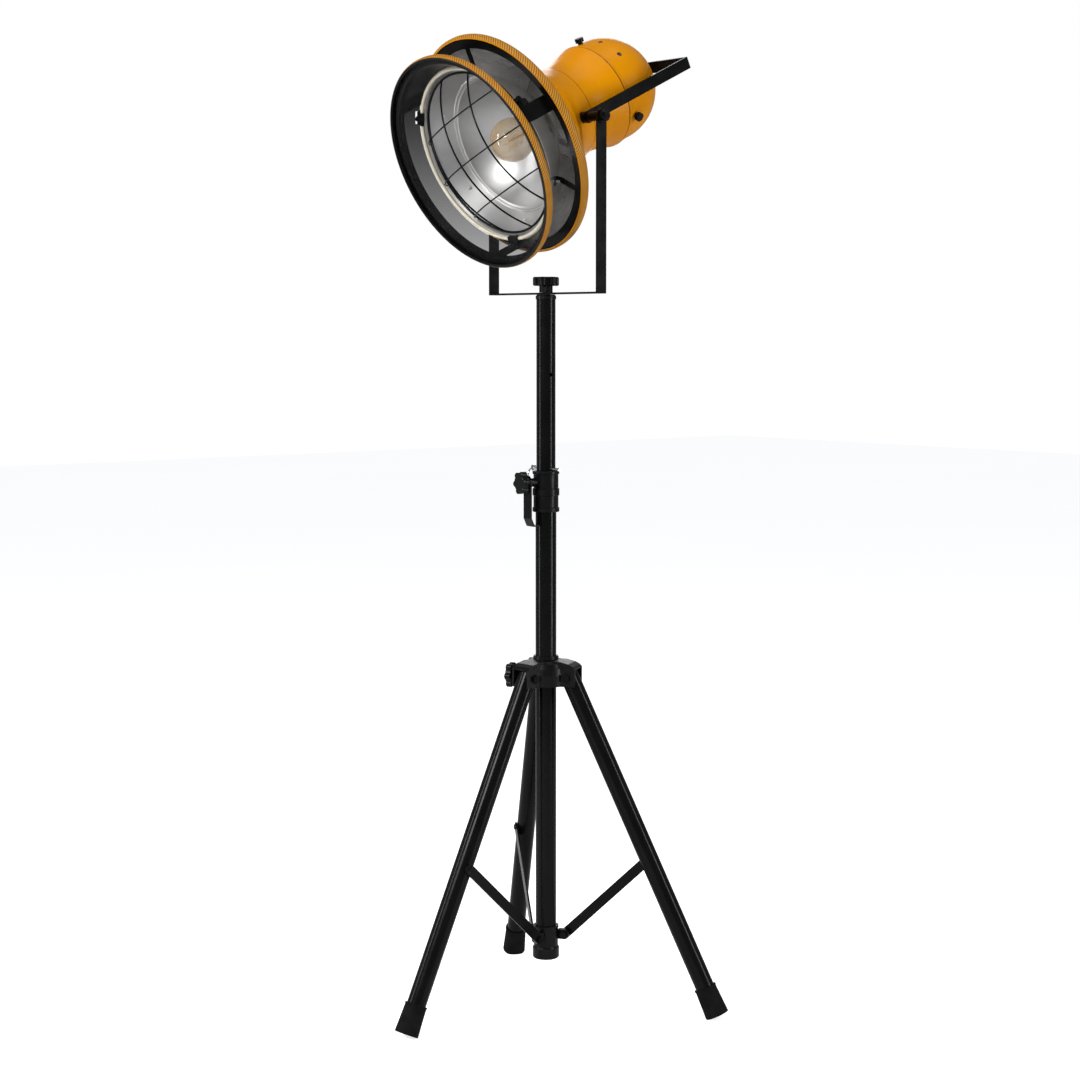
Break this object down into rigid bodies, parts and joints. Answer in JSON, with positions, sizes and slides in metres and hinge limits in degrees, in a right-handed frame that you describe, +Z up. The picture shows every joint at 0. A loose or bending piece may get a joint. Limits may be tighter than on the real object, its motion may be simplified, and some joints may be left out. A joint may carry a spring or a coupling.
{
  "type": "tripod work light",
  "caption": "Spot lamp head with a front ring and wire guard, in a tilting yoke on a telescopic mast with a folding tripod.",
  "frame": {"origin": "on the floor, under the mast's axis", "axes": "+Z up; the lamp faces -Y and the tilt axis runs along X"},
  "size_m": [0.5587, 0.5449, 1.6379],
  "materials": {
    "yellow_paint": "semi-gloss ochre yellow paint",
    "black_paint": "satin black powder coat",
    "black_wire": "satin black",
    "black_plastic": "moulded, satin",
    "black_rubber": "matt moulded rubber",
    "nylon": "smooth moulded nylon",
    "zinc": "bright zinc plate",
    "chrome": "bright",
    "reflector_silver": "satin spun silver",
    "amber_glass": "clear amber tint",
    "smoked_glass": "clear, lightly smoked",
    "cap_brass": "stamped brass shell",
    "filament_metal": "thin wire on a glass stem",
    "holder_ceramic": "glazed white ceramic"
  },
  "bodies": {
    "mast": {"lower_tube": "black_paint", "tube_bottom_plug": "black_plastic", "bottom_collar": "black_plastic", "brace_pivot_bolts": "black_paint", "clamp_collar": "black_plastic", "clamp_liner": "nylon", "cable_hook": "black_paint"},
    "hub": {"tripod_hub": "black_plastic", "hub_bush": "nylon", "leg_pivot_bolts": "black_paint"},
    "hub_knob": {"hub_knob": "black_plastic"},
    "clamp_knob": {"clamp_knob": "black_plastic"},
    "upper_mast": {"upper_tube": "black_paint", "tube_cap": "black_plastic", "top_stud": "zinc", "yoke_washer": "nylon"},
    "lock_pin": {"lock_pin": "chrome"},
    "pin_ring": {"pin_ring": "chrome"},
    "yoke": {"yoke": "black_paint"},
    "yoke_knob": {"yoke_knob": "black_plastic"},
    "head": {"bell_housing": "yellow_paint", "neck_housing": "yellow_paint", "rear_cap": "yellow_paint", "cable_gland": "black_plastic", "front_ring": "yellow_paint", "front_ring_liner": "black_paint", "smoked_collar": "smoked_glass", "bell_trim_ring": "black_paint", "ring_straps": "black_paint", "reflector": "reflector_silver", "reflector_standoffs": "black_paint", "guard_clips": "black_paint", "reflector_screws": "zinc", "guard_ring": "black_wire", "wire_guard": "black_wire", "bulb_glass": "amber_glass", "bulb_base": "cap_brass", "filament": "filament_metal", "lampholder": "holder_ceramic", "holder_bracket": "zinc", "handle": "black_paint", "tilt_bolts": "black_paint", "tilt_spacers": "black_paint"},
    "tilt_knob_right": {"tilt_knob_right": "black_plastic"},
    "tilt_knob_left": {"tilt_knob_left": "black_plastic"},
    "leg_1": {"leg_tube_1": "black_paint", "rubber_boot_1": "black_rubber"},
    "brace_1": {"brace_bar_1": "black_paint", "brace_rivet_1": "black_paint"},
    "thumb_screw_1": {"thumb_screw_1": "black_plastic"},
    "leg_2": {"leg_tube_2": "black_paint", "rubber_boot_2": "black_rubber"},
    "brace_2": {"brace_bar_2": "black_paint", "brace_rivet_2": "black_paint"},
    "thumb_screw_2": {"thumb_screw_2": "black_plastic"},
    "leg_3": {"leg_tube_3": "black_paint", "rubber_boot_3": "black_rubber"},
    "brace_3": {"brace_bar_3": "black_paint", "brace_rivet_3": "black_paint"},
    "thumb_screw_3": {"thumb_screw_3": "black_plastic"}
  },
  "joints": [
    {"name": "hub_slide", "type": "slide", "parent": "mast", "child": "hub", "axis": [0, 0, 1], "range_m": [0, 0.0937]},
    {"name": "hub_knob_turn", "type": "hinge", "parent": "hub", "child": "hub_knob", "pos_m": [-0.04749, -0.02967, 0.56], "axis": [-0.848, -0.5299, 0], "continuous": true},
    {"name": "clamp_knob_turn", "type": "hinge", "parent": "mast", "child": "clamp_knob", "pos_m": [-0.00657, -0.04148, 0.89], "axis": [-0.1564, -0.9877, 0], "continuous": true},
    {"name": "pole_slide", "type": "slide", "parent": "mast", "child": "upper_mast", "axis": [0, 0, 1], "range_m": [0, 0.3]},
    {"name": "pin_slide", "type": "slide", "parent": "upper_mast", "child": "lock_pin", "axis": [-0.9945, 0.1045, 0], "range_m": [0, 0.06]},
    {"name": "ring_swing", "type": "hinge", "parent": "lock_pin", "child": "pin_ring", "pos_m": [-0.0373, 0.00392, 0.9123], "axis": [0.1045, 0.9945, 0], "range_deg": [-30, 110]},
    {"name": "pan", "type": "hinge", "parent": "upper_mast", "child": "yoke", "pos_m": [0, 0, 1.2055], "axis": [0, 0, 1], "continuous": true},
    {"name": "yoke_knob_turn", "type": "hinge", "parent": "upper_mast", "child": "yoke_knob", "pos_m": [0, 0, 1.221], "axis": [0, 0, 1], "continuous": true},
    {"name": "tilt", "type": "hinge", "parent": "yoke", "child": "head", "pos_m": [0, 0, 1.49], "axis": [1, 0, 0], "range_deg": [-110, 7]},
    {"name": "tilt_knob_right_turn", "type": "hinge", "parent": "head", "child": "tilt_knob_right", "pos_m": [0.145, 0, 1.49], "axis": [1, 0, 0], "continuous": true},
    {"name": "tilt_knob_left_turn", "type": "hinge", "parent": "head", "child": "tilt_knob_left", "pos_m": [-0.145, 0, 1.49], "axis": [-1, 0, 0], "continuous": true},
    {"name": "leg_fold_1", "type": "hinge", "parent": "hub", "child": "leg_1", "pos_m": [0.00147, -0.04217, 0.562], "axis": [0.9994, 0.0349, 0], "range_deg": [0, 22.05]},
    {"name": "brace_fold_1", "type": "hinge", "parent": "mast", "child": "brace_1", "pos_m": [0.01884, -0.02936, 0.1164], "axis": [0.9994, 0.0349, 0], "range_deg": [-38.37, 0]},
    {"name": "leg_fold_2", "type": "hinge", "parent": "hub", "child": "leg_2", "pos_m": [0.03579, 0.02236, 0.562], "axis": [-0.5299, 0.848, 0], "range_deg": [0, 22.05]},
    {"name": "brace_fold_2", "type": "hinge", "parent": "mast", "child": "brace_2", "pos_m": [0.01601, 0.03099, 0.1164], "axis": [-0.5299, 0.848, 0], "range_deg": [-38.37, 0]},
    {"name": "leg_fold_3", "type": "hinge", "parent": "hub", "child": "leg_3", "pos_m": [-0.03726, 0.01981, 0.562], "axis": [-0.4695, -0.8829, 0], "range_deg": [0, 22.05]},
    {"name": "brace_fold_3", "type": "hinge", "parent": "mast", "child": "brace_3", "pos_m": [-0.03485, -0.00163, 0.1164], "axis": [-0.4695, -0.8829, 0], "range_deg": [-38.37, 0]},
    {"name": "thumb_screw_turn_1", "type": "hinge", "parent": "head", "child": "thumb_screw_1", "pos_m": [0, 0.07455, 1.62479], "axis": [0, -0.4274, 0.9041], "continuous": true},
    {"name": "thumb_screw_turn_2", "type": "hinge", "parent": "head", "child": "thumb_screw_2", "pos_m": [0.07794, 0.13224, 1.50274], "axis": [0.866, 0.2137, -0.452], "continuous": true},
    {"name": "thumb_screw_turn_3", "type": "hinge", "parent": "head", "child": "thumb_screw_3", "pos_m": [-0.07794, 0.13224, 1.50274], "axis": [-0.866, 0.2137, -0.452], "continuous": true}
  ],
  "couplings": [
    {"joint": "leg_fold_1", "follows": "hub_slide", "rad_per_m": 4.0979},
    {"joint": "brace_fold_1", "follows": "hub_slide", "rad_per_m": -7.1378},
    {"joint": "leg_fold_2", "follows": "hub_slide", "rad_per_m": 4.0979},
    {"joint": "brace_fold_2", "follows": "hub_slide", "rad_per_m": -7.1378},
    {"joint": "leg_fold_3", "follows": "hub_slide", "rad_per_m": 4.0979},
    {"joint": "brace_fold_3", "follows": "hub_slide", "rad_per_m": -7.1378}
  ]
}
